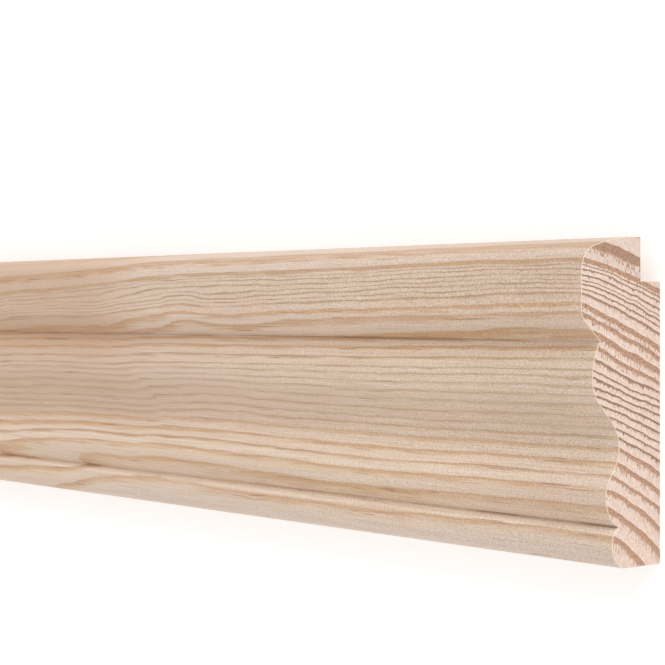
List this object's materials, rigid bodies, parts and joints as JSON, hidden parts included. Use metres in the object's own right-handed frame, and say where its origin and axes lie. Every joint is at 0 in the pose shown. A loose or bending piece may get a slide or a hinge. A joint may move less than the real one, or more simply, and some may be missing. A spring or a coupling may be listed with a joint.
{
  "type": "picture rail",
  "caption": "Moulded softwood picture rail with a hook rebate behind its lip, two quirks, an ogee, a torus and a beaded foot, square cut at both ends.",
  "frame": {"origin": "on the wall face, under the middle of the length and midway between the foot and the top of the lip", "axes": "+X along the length, +Y up the height of the rail as it is fixed, towards the lip, +Z out from the wall, through the moulded face"},
  "size_m": [2.4, 0.044, 0.018],
  "materials": {
    "pine": "planed bare softwood, unfinished"
  },
  "bodies": {
    "root": {"picture_rail": "pine"}
  },
  "joints": []
}
